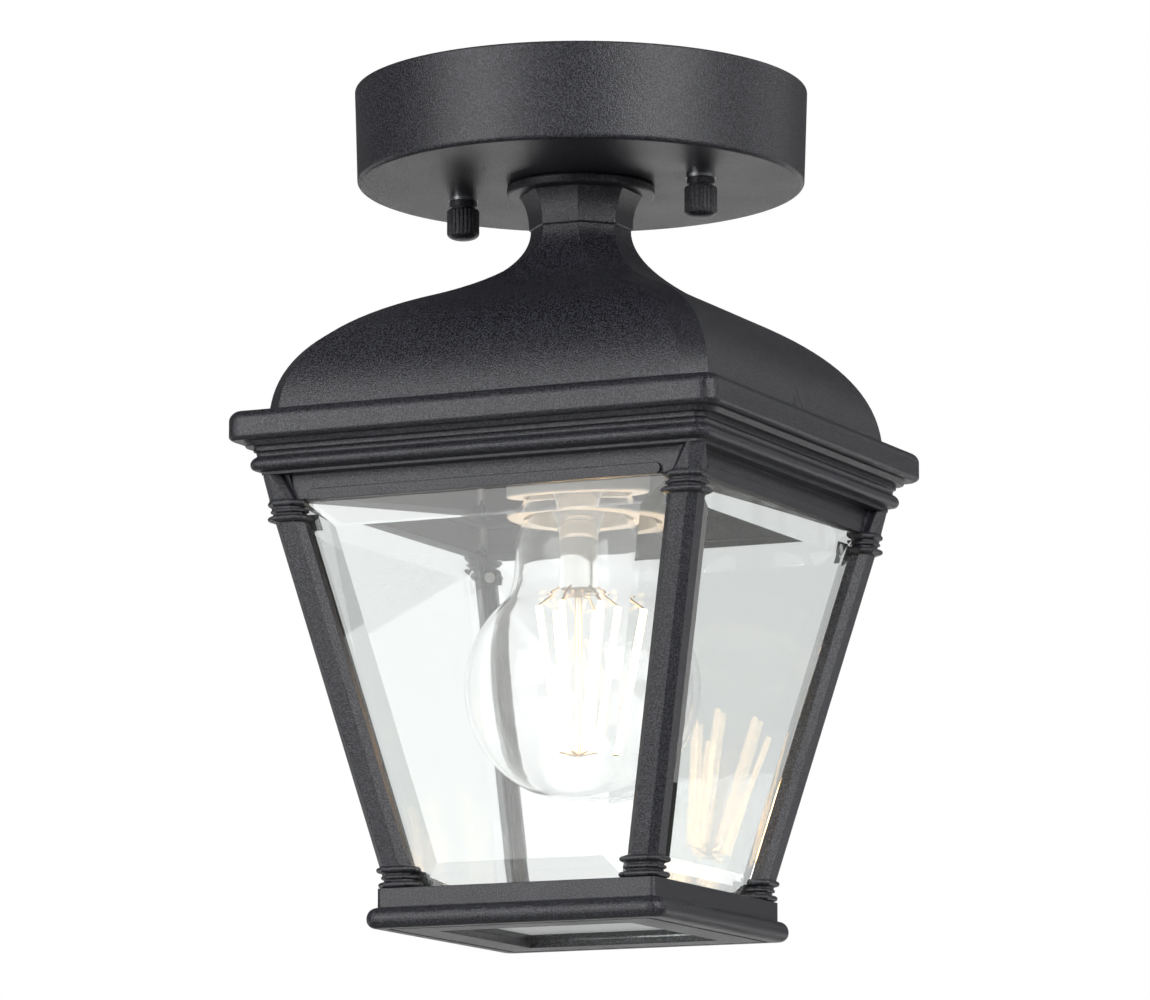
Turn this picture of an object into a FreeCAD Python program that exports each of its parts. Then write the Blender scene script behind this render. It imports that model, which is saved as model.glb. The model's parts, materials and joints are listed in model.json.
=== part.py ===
import FreeCAD, Part
import math
import os
from FreeCAD import Vector

# Porch ceiling lantern, in millimetres. The origin is on the lantern's axis in the plane of the
# ceiling, +Z is up and the four glazed sides face +X, -X, +Y and -Y. The front is -Y.

# ---- driving dimensions ----
# ceiling plate and its fixings
CANOPY_RADIUS = 60.4
CANOPY_HEIGHT = 25.5
CANOPY_WALL = 1.2
CANOPY_TAPER = 0.8
CANOPY_EDGE = 1.2
CANOPY_TOP_ROUND = 0.6
STUD_SPACING = 70.0
STUD_RADIUS = 2.0
CROSSBAR_LENGTH = 104.0
CROSSBAR_WIDTH = 20.0
CROSSBAR_THICKNESS = 2.0
BOX_SCREW_SPACING = 88.9
BOX_SLOT_LENGTH = 10.0
BOX_SLOT_WIDTH = 4.8
LOCK_NUT_HEIGHT = 3.2
LOCK_NUT_FLATS = 7.0
GROUND_SCREW_OFFSET = 16.0
CAP_WASHER_RADIUS = 3.9
CAP_WASHER_THICKNESS = 0.8
CAP_NUT_RADIUS = 4.35
CAP_NUT_LENGTH = 10.7
CAP_NUT_COLLAR_RADIUS = 3.7
CAP_NUT_COLLAR_HEIGHT = 1.7
CAP_NUT_WAIST_RADIUS = 3.2
CAP_NUT_WAIST_HEIGHT = 0.6
CAP_NUT_CROWN = 1.9
KNURL_COUNT = 24
KNURL_DEPTH = 0.3

# stem between the ceiling plate and the roof
NIPPLE_RADIUS = 5.0
NIPPLE_BORE = 3.6
NIPPLE_RISE = 10.5
NIPPLE_DROP = 9.5
NUT_HEIGHT = 4.0
NUT_FLATS = 14.0
LOCK_WASHER_RADIUS = 8.5
LOCK_WASHER_THICKNESS = 1.0
EARTH_RING_RADIUS = 7.6
EARTH_RING_THICKNESS = 0.8
NECK_HEIGHT = 12.2
NECK_FLANGE_RADIUS = 19.7
NECK_FLANGE_THICKNESS = 2.7
NECK_TOP_HALF = 15.2
NECK_BOTTOM_HALF = 12.8

# ogee roof
ROOF_HEIGHT = 53.5
ROOF_TOP_HALF = 12.3
ROOF_SETBACK = 7.0
ROOF_WALL = 2.4
ROOF_CROWN_THICKNESS = 3.5
HIP_TOP_CUT = 7.1
HIP_BASE_CUT = 5.5
ROOF_BOSS_RADIUS = 7.5
ROOF_BOSS_TOP_RADIUS = 4.4
ROOF_BOSS_HEIGHT = 8.2
ROOF_BOSS_INSET = 6.0
ROOF_WASHER_RADIUS = 8.0
ROOF_WASHER_THICKNESS = 1.2

# body: the outer faces of the posts lean outwards from the sill to the head
POST_TOP_HALF = 61.4
POST_BOTTOM_HALF = 38.3
POST_LENGTH = 100.0
POST_WIDTH = 8.5
POST_CHAMFER = 2.0
GLASS_RECESS = 3.3
GLASS_THICKNESS = 3.0
GLASS_SIDE_LAP = 1.0
GLASS_HEAD_LAP = 1.3
GLASS_SILL_DROP = 2.0
BEVEL_WIDTH = 8.5
BEVEL_DEPTH = 1.6

# cornice and frieze above the glass
FRAME_HEIGHT = 24.2
SLAB_HEIGHT = 8.8
SLAB_OVERHANG = 6.35
SLAB_CORNER = 4.5
SLAB_TOP_ROUND = 2.6
SLAB_PLATE = 2.5
SLAB_FALL = 0.9
SLAB_FOOT_ROUND = 1.2
SLAB_RIM = 3.2
SLAB_FLOOR = 2.5
SLAB_PLATE_LAP = 2.9
FRAME_WALL = 2.0
EAR_LENGTH = 4.8
EAR_WIDTH = 12.0
BED_HEIGHT = 8.5
BED_MARGIN = 0.45
BED_LIP_PROUD = 3.9
BED_LIP_FOOT_PROUD = 3.2
BED_LIP_HEIGHT = 1.3
BED_FILLET_PROUD = 1.2
BED_FILLET_HEIGHT = 1.2
BED_HOLLOW_PROUD = 0.3
BED_HOLLOW_HEIGHT = 1.3
BEAD_PROUD = 2.0
BEAD_MIDDLE_DROP = 5.7
BEAD_FOOT_DROP = 7.4
BED_FOOT_SETBACK = 1.0
BED_CORNER = 1.8
FRIEZE_INSET = 3.0
COLLAR_RISE = 0.4
STRIP_HEIGHT = 2.9
STRIP_PROUD = 0.9
PILASTER_DEPTH = 5.4
PILASTER_TOP_CHAMFER = 3.0
PILASTER_TOP_WIDTH = 3.5
PILASTER_TOP_FLANK = 2.0
PILASTER_FOOT_CHAMFER = 2.4
PILASTER_FOOT_WIDTH = 6.2
PILASTER_FOOT_FLANK = 1.4
SHELF_DEPTH = 12.8
SHELF_THICKNESS = 2.0
SHELF_OPENING_HALF = 52.0

# beads round the ends of a post
BEAD_GAP = 0.4
LARGE_BEAD = 1.9
SMALL_BEAD = 1.2
LARGE_BEAD_PROUD = 1.5
SMALL_BEAD_PROUD = 0.75
TOP_BEAD_PROUD = 1.1
COLLAR_LEAN = 0.45

# sill and base moulding
BASE_HEIGHT = 10.4
BASE_MARGIN = 1.3
TORUS_PROUD = 2.9
TORUS_HEIGHT = 5.4
TORUS_TOP_ROUND = 1.2
TORUS_MIDDLE_RISE = 2.5
TORUS_FOOT_INSET = 2.7
BASE_CORNER = 1.4
BASE_LEDGE_DROP = 2.2
BASE_LEDGE_THICKNESS = 1.8
BASE_OPENING_HALF = 30.3
BASE_LIP = 2.0

# bottom door
DOOR_GAP = 1.2
DOOR_RING_WIDTH = 9.0
DOOR_RING_THICKNESS = 1.7
BOTTOM_GLASS_LAP = 3.8
DOOR_PIN_RADIUS = 0.8
DOOR_PIN_LENGTH = 6.4
DOOR_PIN_RUNNING_FIT = 0.05
DOOR_LUG_HEIGHT = 1.7
DOOR_LUG_LENGTH = 4.2
DOOR_LUG_DEPTH = 2.8
DOOR_AXIS_INSET = 1.4
CATCH_LENGTH = 8.0
CATCH_WIDTH = 4.0
CATCH_INSET = 2.4
DOOR_CLIP_WIDTH = 6.0
DOOR_CLIP_SPACING = 30.0
DOOR_CLIP_THICKNESS = 0.6
DOOR_CLIP_FOOT = 4.0
DOOR_CLIP_GRIP = 2.0

# corner clips that hold the panes
CLIP_HEIGHT = 4.0
CLIP_LEG = 4.9
CLIP_THICKNESS = 0.8
CLIP_GUSSET = 3.1
TOP_CLIP_DROP = 7.0
BOTTOM_CLIP_RISE = 0.6

# lampholder and its plate
PLATE_THICKNESS = 1.2
PLATE_HALF = 56.0
PLATE_CORNER_CUT = 10.0
PLATE_SCREW_OFFSET = 54.0
HOLDER_RADIUS = 19.0
HOLDER_TOP_RADIUS = 17.0
HOLDER_SKIRT = 11.0
HOLDER_HEIGHT = 35.0
HOLDER_ROOF = 3.5
HOLDER_TOP_ROUND = 2.5
HOLDER_RIM_ROUND = 0.8
HOLDER_MOUTH_GAP = 0.6
HOLDER_FLANGE_RADIUS = 27.0
HOLDER_FLANGE_THICKNESS = 3.0
HOLDER_SCREW_OFFSET = 23.4
SHELL_RADIUS = 13.9
SHELL_WALL = 0.5
SHELL_INSET = 5.0
SHELL_LIP = 4.0
TONGUE_THICKNESS = 0.4
TONGUE_WIDTH = 6.0
TERMINAL_OFFSET = 9.0
TERMINAL_RADIUS = 2.6
TERMINAL_HEIGHT = 2.0

# filament lamp
LAMP_LENGTH = 105.0
LAMP_RADIUS = 30.0
LAMP_NECK_RADIUS = 16.8
LAMP_THROAT_RADIUS = 11.8
LAMP_WALL = 0.8
LAMP_DEPTH = 30.0
CAP_THREAD_RADIUS = 13.1
CAP_CORE_RADIUS = 12.4
CAP_THREAD_PITCH = 3.6
CAP_WALL = 0.3
CAP_LENGTH = 22.0
CONTACT_RADIUS = 4.6
CONTACT_HEIGHT = 0.9
INSULATOR_HEIGHT = 2.4
STEM_RADIUS = 5.0
STEM_LENGTH = 27.0
FILAMENT_COUNT = 6
FILAMENT_LENGTH = 39.0
FILAMENT_RADIUS = 0.9
FILAMENT_TOP_RING = 10.5
FILAMENT_BOTTOM_RING = 5.0
SUPPORT_WIRE_RADIUS = 0.35
HUB_RADIUS = 0.9

# screws and leads
SCREW_RADIUS = 1.5
SCREW_CLEARANCE = 0.15
SCREW_HEAD_RADIUS = 2.75
SCREW_HEAD_HEIGHT = 1.9
POST_SCREW_GRIP = 5.5
CLIP_SCREW_RADIUS = 0.65
CLIP_SCREW_HEAD_RADIUS = 1.5
CLIP_SCREW_LENGTH = 4.2
CLIP_SCREW_HEAD_HEIGHT = 0.9
LEAD_RADIUS = 0.95
CONNECTOR_RADIUS = 4.5
CONNECTOR_TIP_RADIUS = 3.0
CONNECTOR_LENGTH = 16.0

# clearances
FACE_GAP = 0.1
LOOSE_GAP = 0.3
THREAD_FIT = 0.05
HOLE_CLEARANCE = 0.3

# ---- levels and widths that follow from the dimensions ----
ROOT2 = math.sqrt(2.0)
OCTAGON_CUT = 2.0 - ROOT2
EPS = 0.01

z_floor = -CANOPY_HEIGHT
z_seam = z_floor - NECK_HEIGHT
z_eaves = z_seam - ROOF_HEIGHT
z_slab = z_eaves - SLAB_HEIGHT
z_bed = z_slab - BED_HEIGHT
z_head = z_eaves - FRAME_HEIGHT
z_lap = z_head + GLASS_HEAD_LAP + LOOSE_GAP
z_post_top = z_head + COLLAR_RISE
z_sill = z_post_top - POST_LENGTH
z_ledge = z_sill - BASE_LEDGE_DROP
z_recess = z_ledge - BASE_LEDGE_THICKNESS
z_bottom = z_sill - BASE_HEIGHT
z_torus = z_bottom + TORUS_HEIGHT
z_shelf = z_eaves - SHELF_DEPTH
z_plate = z_shelf + PLATE_THICKNESS
z_holder_rim = z_shelf - HOLDER_SKIRT
z_holder_top = z_holder_rim + HOLDER_HEIGHT
z_contact = z_holder_rim + LAMP_DEPTH
z_lamp_bottom = z_contact - LAMP_LENGTH
z_lamp_centre = z_lamp_bottom + LAMP_RADIUS
z_door_top = z_bottom + DOOR_RING_THICKNESS
z_nipple_top = z_floor + NIPPLE_RISE
z_nipple_bottom = z_seam - NIPPLE_DROP

slope = (POST_TOP_HALF - POST_BOTTOM_HALF) / POST_LENGTH
tilt = math.degrees(math.atan(slope))
bed_half = POST_BOTTOM_HALF + (z_bed - z_sill) * slope + BED_MARGIN
slab_half = bed_half + SLAB_OVERHANG
roof_half = slab_half - ROOF_SETBACK
block_half = POST_BOTTOM_HALF + BASE_MARGIN
torus_half = block_half + TORUS_PROUD
recess_half = block_half - BASE_LIP
door_half = recess_half - DOOR_GAP
door_hole_half = door_half - DOOR_RING_WIDTH
bottom_glass_half = door_hole_half + BOTTOM_GLASS_LAP
door_axis_y = door_half - DOOR_AXIS_INSET
z_door_axis = z_door_top + EPS * 10.0
post_screw_top = POST_TOP_HALF - (POST_WIDTH + 1.5) / 2.0
post_screw_bottom = POST_BOTTOM_HALF - (POST_WIDTH - 1.3) / 2.0

# depths behind the outer faces of the posts: the front and back of the glazing groove, the
# sides of the panes and the line where the posts stop
glass_back = GLASS_RECESS + GLASS_THICKNESS / math.cos(math.radians(tilt)) + EPS
groove_front = GLASS_RECESS + BEVEL_DEPTH * (1.0 - GLASS_HEAD_LAP / BEVEL_WIDTH) - FACE_GAP
pane_side = POST_WIDTH - GLASS_SIDE_LAP
groove_side = pane_side - FACE_GAP * 2.0
stack_height = 2 * LARGE_BEAD + SMALL_BEAD + 2 * BEAD_GAP
z_upper_collar = z_post_top - stack_height


def wall_half(z):
    """Half width over the outer faces of the posts at a level."""
    return POST_BOTTOM_HALF + (z - z_sill) * slope


def collar_centre(z0):
    """Distance of a collar's lowest bead from the planes through the lantern's axis."""
    return wall_half(z0 + LARGE_BEAD / 2.0) - POST_WIDTH / 2.0


# half width between the inner sides of the upper collars, and the face of the frieze
between_collars = collar_centre(z_upper_collar) - POST_WIDTH / 2.0 - LARGE_BEAD_PROUD - FACE_GAP
frieze_half = wall_half(z_head) - FRIEZE_INSET


# ---- helpers ----
def cylinder(radius, z0, z1, x=0.0, y=0.0):
    return Part.makeCylinder(radius, z1 - z0, Vector(x, y, z0), Vector(0, 0, 1))


def tube(outer, inner, z0, z1, x=0.0, y=0.0):
    return cylinder(outer, z0, z1, x, y).cut(cylinder(inner, z0 - 1.0, z1 + 1.0, x, y))


def box(x0, x1, y0, y1, z0, z1):
    return Part.makeBox(x1 - x0, y1 - y0, z1 - z0, Vector(x0, y0, z0))


def square(half, z0, z1):
    return box(-half, half, -half, half, z0, z1)


def hexagon(flats, z0, z1, x=0.0, y=0.0):
    radius = flats / math.sqrt(3.0)
    corners = [Vector(x + radius * math.cos(math.radians(60 * k)),
                      y + radius * math.sin(math.radians(60 * k)), z0) for k in range(7)]
    return Part.Face(Part.makePolygon(corners)).extrude(Vector(0, 0, z1 - z0))


def edge(poles):
    """A line through two poles, or a Bezier curve on three or four."""
    if len(poles) == 2:
        return Part.makeLine(poles[0], poles[1])
    curve = Part.BezierCurve()
    curve.setPoles(poles)
    return curve.toShape()


def turned(segments, x=0.0, y=0.0):
    """A solid of revolution about a vertical axis, from (radius, z) segments on one closed line."""
    edges = [edge([Vector(r, 0, z) for r, z in poles]) for poles in segments]
    first, last = segments[0][0], segments[-1][-1]
    if first != last:
        edges.append(edge([Vector(last[0], 0, last[1]), Vector(first[0], 0, first[1])]))
    face = Part.Face(Part.Wire(edges))
    solid = face.revolve(Vector(0, 0, 0), Vector(0, 0, 1), 360)
    solid.translate(Vector(x, y, 0))
    return solid


def lines(points):
    """Straight segments through a list of points."""
    return [[a, b] for a, b in zip(points, points[1:])]


def half_outline(segments):
    """The face between the z axis and an outline of (half width, z) segments."""
    top, bottom = segments[0][0], segments[-1][-1]
    edges = [edge([Vector(a, 0, z) for a, z in poles]) for poles in segments]
    edges.append(edge([Vector(bottom[0], 0, bottom[1]), Vector(0, 0, bottom[1])]))
    edges.append(edge([Vector(0, 0, bottom[1]), Vector(0, 0, top[1])]))
    edges.append(edge([Vector(0, 0, top[1]), Vector(top[0], 0, top[1])]))
    return Part.Face(Part.Wire(edges))


def prism(segments, length, turn):
    """The outline and its mirror image, run along Y by the length each way, then turned."""
    half = half_outline(segments).extrude(Vector(0, 2 * length, 0))
    half.translate(Vector(0, -length, 0))
    whole = half.fuse(half.mirror(Vector(0, 0, 0), Vector(1, 0, 0))).removeSplitter()
    whole.rotate(Vector(0, 0, 0), Vector(0, 0, 1), turn)
    return whole


def mitred(segments, length=120.0):
    """A four-sided block whose sides follow the outline and meet in mitres."""
    return prism(segments, length, 0).common(prism(segments, length, 90))


def eight_sided(segments, cut, length=120.0):
    """A mitred block whose corners are cut by cut(half width, z), measured along a side."""
    across = [[((2 * a - cut(a, z)) / ROOT2, z) for a, z in poles] for poles in segments]
    block = mitred(segments, length)
    return block.common(prism(across, length, 45)).common(prism(across, length, 135))


def rounded(segments, corner_axis):
    """A mitred block whose corners are turned about vertical axes at (corner_axis, corner_axis)."""
    block = prism(segments, corner_axis, 0).fuse(prism(segments, corner_axis, 90))
    corner = half_outline([[(a - corner_axis, z) for a, z in poles] for poles in segments])
    corner = corner.revolve(Vector(0, 0, 0), Vector(0, 0, 1), 90)
    corner.translate(Vector(corner_axis, corner_axis, 0))
    for quarter in range(4):
        block = block.fuse(corner)
        corner = turn_quarter(corner)
    return block.removeSplitter()


def turn_quarter(shape, quarters=1):
    copy = shape.copy()
    copy.rotate(Vector(0, 0, 0), Vector(0, 0, 1), 90 * quarters)
    return copy


def four(shape):
    """The shape and its three copies at quarter turns, as separate solids."""
    return Part.makeCompound([turn_quarter(shape, k) for k in range(4)])


def frustum(half_top, z_top, half_bottom, z_low):
    return mitred([[(half_top, z_top), (half_bottom, z_low)]])


def fuse_all(shapes):
    result = shapes[0].multiFuse(shapes[1:])
    return result.removeSplitter()


def screw(x, y, z_seat, length, up, radius=SCREW_RADIUS):
    """A pan head on a seat, with its shank going up or down from it."""
    sign = 1.0 if up else -1.0
    head = Part.makeCylinder(SCREW_HEAD_RADIUS, SCREW_HEAD_HEIGHT, Vector(x, y, z_seat),
                             Vector(0, 0, -sign))
    slot = box(x - SCREW_HEAD_RADIUS, x + SCREW_HEAD_RADIUS, y - 0.35, y + 0.35,
               min(z_seat - sign * 1.2, z_seat - sign * 3.0),
               max(z_seat - sign * 1.2, z_seat - sign * 3.0))
    shank = Part.makeCylinder(radius, length, Vector(x, y, z_seat), Vector(0, 0, sign))
    return head.cut(slot).fuse(shank).removeSplitter()


def corner_prism(points, z0, z1):
    """A prism that leans with the front right post. Each point is (depth behind the right-hand
    face, depth behind the front face)."""
    half = wall_half(z0)
    corners = [Vector(half - p, q - half, z0) for p, q in points + points[:1]]
    rise = z1 - z0
    return Part.Face(Part.makePolygon(corners)).extrude(Vector(slope * rise, -slope * rise, rise))


def glazing_grooves(z0, z1):
    """The space that the two panes and the clips beside the front right post take up."""
    far = 4.0 * POST_WIDTH
    front = [(groove_side, groove_front), (far, groove_front), (far, far), (groove_side, far)]
    side = [(q, p) for p, q in front]
    behind = [(glass_back, glass_back), (far, glass_back), (far, far), (glass_back, far)]
    return fuse_all([corner_prism(points, z0, z1) for points in (front, side, behind)])


def post_section():
    """Eight-sided post with a groove on each inner side for the edge of a pane."""
    w, c = POST_WIDTH, POST_CHAMFER
    s, g, a = groove_side, groove_front, glass_back
    return [(c, 0), (w - c, 0), (w, c), (w, g), (s, g), (s, a), (a, a), (a, s), (g, s), (g, w),
            (c, w), (0, w - c), (0, c)]


# ---- ceiling fixing ----
def crossbar():
    half, width = CROSSBAR_LENGTH / 2.0, CROSSBAR_WIDTH / 2.0
    bar = box(-half, half, -width, width, -CROSSBAR_THICKNESS, 0)
    reach = (BOX_SLOT_LENGTH - BOX_SLOT_WIDTH) / 2.0
    for side in (-1, 1):
        x = side * BOX_SCREW_SPACING / 2.0
        low, high = -CROSSBAR_THICKNESS - 1.0, 1.0
        bar = bar.cut(box(x - reach, x + reach, -BOX_SLOT_WIDTH / 2, BOX_SLOT_WIDTH / 2, low, high))
        for end in (-reach, reach):
            bar = bar.cut(cylinder(BOX_SLOT_WIDTH / 2.0, low, high, x + end))
        bar = bar.cut(cylinder(STUD_RADIUS, low, high, side * STUD_SPACING / 2.0))
    bar = bar.cut(cylinder(NIPPLE_RADIUS + HOLE_CLEARANCE, -CROSSBAR_THICKNESS - 1.0, 1.0))
    return bar.cut(cylinder(SCREW_RADIUS, -CROSSBAR_THICKNESS - 1.0, 1.0, GROUND_SCREW_OFFSET))


def ground_screw():
    return screw(GROUND_SCREW_OFFSET, 0, -CROSSBAR_THICKNESS, CROSSBAR_THICKNESS, True)


z_cap_top = z_floor - CAP_WASHER_THICKNESS
z_cap_tip = z_cap_top - CAP_NUT_LENGTH
z_stud_end = z_cap_tip + 3.0


def canopy_studs():
    return Part.makeCompound([cylinder(STUD_RADIUS, z_stud_end, 0, side * STUD_SPACING / 2.0)
                              for side in (-1, 1)])


def stud_lock_nuts():
    nuts = []
    for side in (-1, 1):
        x = side * STUD_SPACING / 2.0
        top = -CROSSBAR_THICKNESS
        nut = hexagon(LOCK_NUT_FLATS, top - LOCK_NUT_HEIGHT, top, x)
        nuts.append(nut.cut(cylinder(STUD_RADIUS, top - LOCK_NUT_HEIGHT - 1, top + 1, x)))
    return Part.makeCompound(nuts)


def canopy():
    r, t, e = CANOPY_RADIUS, CANOPY_WALL, CANOPY_EDGE
    low = r - CANOPY_TAPER
    k = 0.45 * e
    hole = NIPPLE_RADIUS + HOLE_CLEARANCE
    u = CANOPY_TOP_ROUND
    profile = [[(r - t, 0), (r - u, 0)], [(r - u, 0), (r, 0), (r, -u)], [(r, -u), (low, z_floor + e)],
               [(low, z_floor + e), (low, z_floor + k), (low - e + k, z_floor), (low - e, z_floor)],
               [(low - e, z_floor), (hole, z_floor)], [(hole, z_floor), (hole, z_floor + t)],
               [(hole, z_floor + t), (low - t, z_floor + t)],
               [(low - t, z_floor + t), (r - t, 0)]]
    dish = turned(profile)
    for side in (-1, 1):
        dish = dish.cut(cylinder(STUD_RADIUS + HOLE_CLEARANCE, z_floor - 1, z_floor + t + 1,
                                 side * STUD_SPACING / 2.0))
    return dish


def cap_washers():
    return Part.makeCompound([tube(CAP_WASHER_RADIUS, STUD_RADIUS + HOLE_CLEARANCE, z_cap_top,
                                   z_floor, side * STUD_SPACING / 2.0) for side in (-1, 1)])


def cap_nut(side):
    """Knurled blind nut with a collar, a waist and a rounded end."""
    r, crown = CAP_NUT_RADIUS, CAP_NUT_CROWN
    z1 = z_cap_top - CAP_NUT_COLLAR_HEIGHT
    z2 = z1 - CAP_NUT_WAIST_HEIGHT
    shoulder = 0.7
    bore = STUD_RADIUS + THREAD_FIT
    z_bore = z_stud_end - 0.5
    profile = lines([(bore, z_cap_top), (CAP_NUT_COLLAR_RADIUS, z_cap_top),
                     (CAP_NUT_COLLAR_RADIUS, z1), (CAP_NUT_WAIST_RADIUS, z1),
                     (CAP_NUT_WAIST_RADIUS, z2)])
    profile.append([(CAP_NUT_WAIST_RADIUS, z2), (r, z2), (r, z2 - shoulder)])
    profile.append([(r, z2 - shoulder), (r, z_cap_tip + crown)])
    profile.append([(r, z_cap_tip + crown), (r, z_cap_tip + 0.4 * crown),
                    (0.62 * r, z_cap_tip), (0, z_cap_tip)])
    profile.extend(lines([(0, z_cap_tip), (0, z_bore), (bore, z_bore)]))
    nut = turned(profile)
    grooves = []
    for k in range(KNURL_COUNT):
        angle = 2 * math.pi * k / KNURL_COUNT
        grooves.append(Part.makeCylinder(KNURL_DEPTH, z2 - z_cap_tip,
                                         Vector(r * math.cos(angle), r * math.sin(angle), z_cap_tip)))
    nut = nut.cut(Part.makeCompound(grooves))
    nut.translate(Vector(side * STUD_SPACING / 2.0, 0, 0))
    return nut


# ---- stem ----
z_lock_washer = z_floor + CANOPY_WALL
z_earth_ring = z_lock_washer + LOCK_WASHER_THICKNESS
z_canopy_nut = z_earth_ring + EARTH_RING_THICKNESS
earth_angle = -20.0
EARTH_BARREL_START = 10.0
EARTH_BARREL_END = 14.5
EARTH_BARREL_RADIUS = 1.4
EARTH_TAIL_WIDTH = 2.4
LOCK_WASHER_NOTCH = 0.8


def nipple():
    return tube(NIPPLE_RADIUS, NIPPLE_BORE, z_nipple_bottom, z_nipple_top)


def nipple_lock_washer():
    ring = tube(LOCK_WASHER_RADIUS, NIPPLE_RADIUS, z_lock_washer, z_earth_ring)
    notches = [cylinder(LOCK_WASHER_NOTCH, z_lock_washer - 1, z_earth_ring + 1,
                        LOCK_WASHER_RADIUS * math.cos(math.radians(30 * k)),
                        LOCK_WASHER_RADIUS * math.sin(math.radians(30 * k))) for k in range(12)]
    return ring.cut(Part.makeCompound(notches))


def earth_ring():
    """Ring tag with a crimped barrel for the earth lead."""
    top = z_earth_ring + EARTH_RING_THICKNESS
    ring = cylinder(EARTH_RING_RADIUS, z_earth_ring, top)
    half = EARTH_TAIL_WIDTH / 2.0
    tail = box(0, EARTH_BARREL_START + 1.0, -half, half, z_earth_ring, top)
    middle = (z_earth_ring + top) / 2.0 + 0.4
    barrel = Part.makeCylinder(EARTH_BARREL_RADIUS, EARTH_BARREL_END - EARTH_BARREL_START,
                               Vector(EARTH_BARREL_START, 0, middle), Vector(1, 0, 0))
    tag = fuse_all([ring, tail, barrel])
    tag = tag.cut(cylinder(NIPPLE_RADIUS, z_earth_ring - 2, top + 2))
    tag.rotate(Vector(0, 0, 0), Vector(0, 0, 1), earth_angle)
    return tag


def canopy_nut():
    top = z_canopy_nut + NUT_HEIGHT
    nut = hexagon(NUT_FLATS, z_canopy_nut, top)
    return nut.cut(cylinder(NIPPLE_RADIUS, z_canopy_nut - 1, top + 1))


def neck_collar():
    """Round flange under the ceiling plate and a flared eight-sided neck, cast in one."""
    z1 = z_floor - NECK_FLANGE_THICKNESS
    r = NECK_FLANGE_RADIUS
    flange = turned(lines([(0, z_floor), (r - 0.6, z_floor), (r, z_floor - 0.6),
                           (r, z1 + 0.3), (r - 0.5, z1), (0, z1), (0, z_floor)]))
    rise = z1 - z_seam
    flare = [[(NECK_TOP_HALF, z1 + EPS), (NECK_BOTTOM_HALF + 0.5, z1 - 0.3 * rise),
              (NECK_BOTTOM_HALF, z1 - 0.6 * rise), (NECK_BOTTOM_HALF, z_seam + 0.4)],
             [(NECK_BOTTOM_HALF, z_seam + 0.4), (NECK_BOTTOM_HALF - 0.4, z_seam)]]
    neck = eight_sided(flare, lambda a, z: OCTAGON_CUT * a)
    collar = flange.fuse(neck).removeSplitter()
    return collar.cut(cylinder(NIPPLE_RADIUS + HOLE_CLEARANCE, z_seam - 1, z_floor + 1))


z_crown_bottom = z_seam - ROOF_CROWN_THICKNESS
z_roof_washer = z_crown_bottom - ROOF_WASHER_THICKNESS


def roof_washer():
    return tube(ROOF_WASHER_RADIUS, NIPPLE_RADIUS + HOLE_CLEARANCE, z_roof_washer, z_crown_bottom)


def roof_nut():
    nut = hexagon(NUT_FLATS, z_roof_washer - NUT_HEIGHT, z_roof_washer)
    return nut.cut(cylinder(NIPPLE_RADIUS, z_roof_washer - NUT_HEIGHT - 1, z_roof_washer + 1))


# ---- roof ----
# The side of the roof is two curves that meet where the hollow neck turns into the dome.
TURN_HALF = 33.5
TURN_DROP = 20.8
TURN_STEEPNESS = 2.45
NECK_PULL = 3.4
DOME_PULL = 7.6
NECK_PLUMB_DROP = 10.5
SHOULDER_RISE = 15.0
SHOULDER_INSET = 1.0


def roof_poles(wall):
    """Poles of the two curves, moved inwards by the wall thickness."""
    nx, nz = -1.0 / math.hypot(1, TURN_STEEPNESS), -TURN_STEEPNESS / math.hypot(1, TURN_STEEPNESS)
    turn = (TURN_HALF + nx * wall, z_seam - TURN_DROP + nz * wall)
    above, below = NECK_PULL, DOME_PULL
    neck = [(ROOF_TOP_HALF - wall, z_seam),
            (ROOF_TOP_HALF - wall, z_seam - NECK_PLUMB_DROP - 0.4 * wall),
            (turn[0] - TURN_STEEPNESS * above, turn[1] + above), turn]
    dome = [turn, (turn[0] + TURN_STEEPNESS * below, turn[1] - below),
            (roof_half - SHOULDER_INSET - wall, z_eaves + SHOULDER_RISE), (roof_half - wall, z_eaves)]
    return [neck, dome]


def hip_cut(half, z):
    share = (z_seam - z) / ROOF_HEIGHT
    return HIP_TOP_CUT + (HIP_BASE_CUT - HIP_TOP_CUT) * share


def roof_boss(side):
    """Screw boss in the middle of the foot of a side, standing a little proud of the dome."""
    x = side * (roof_half - ROOF_BOSS_INSET)
    return Part.makeCone(ROOF_BOSS_RADIUS, ROOF_BOSS_TOP_RADIUS, ROOF_BOSS_HEIGHT,
                         Vector(x, 0, z_eaves))


def roof():
    outer = eight_sided(roof_poles(0.0), hip_cut)
    lining = eight_sided(roof_poles(ROOF_WALL), lambda a, z: hip_cut(a, z) - OCTAGON_CUT * ROOF_WALL)
    lining = lining.cut(square(roof_half, z_crown_bottom, z_seam + 1.0))
    shell = outer.cut(lining)
    shell = fuse_all([shell, roof_boss(-1), roof_boss(1)])
    shell = shell.cut(cylinder(NIPPLE_RADIUS + HOLE_CLEARANCE, z_crown_bottom - 1, z_seam + 1))
    for side in (-1, 1):
        x = side * (roof_half - ROOF_BOSS_INSET)
        shell = shell.cut(cylinder(SCREW_RADIUS, z_eaves - 1, z_eaves + POST_SCREW_GRIP, x))
    return shell


def roof_screws():
    seat = z_eaves - SLAB_PLATE
    return Part.makeCompound([screw(side * (roof_half - ROOF_BOSS_INSET), 0, seat,
                                    SLAB_PLATE + POST_SCREW_GRIP, True) for side in (-1, 1)])


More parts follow.
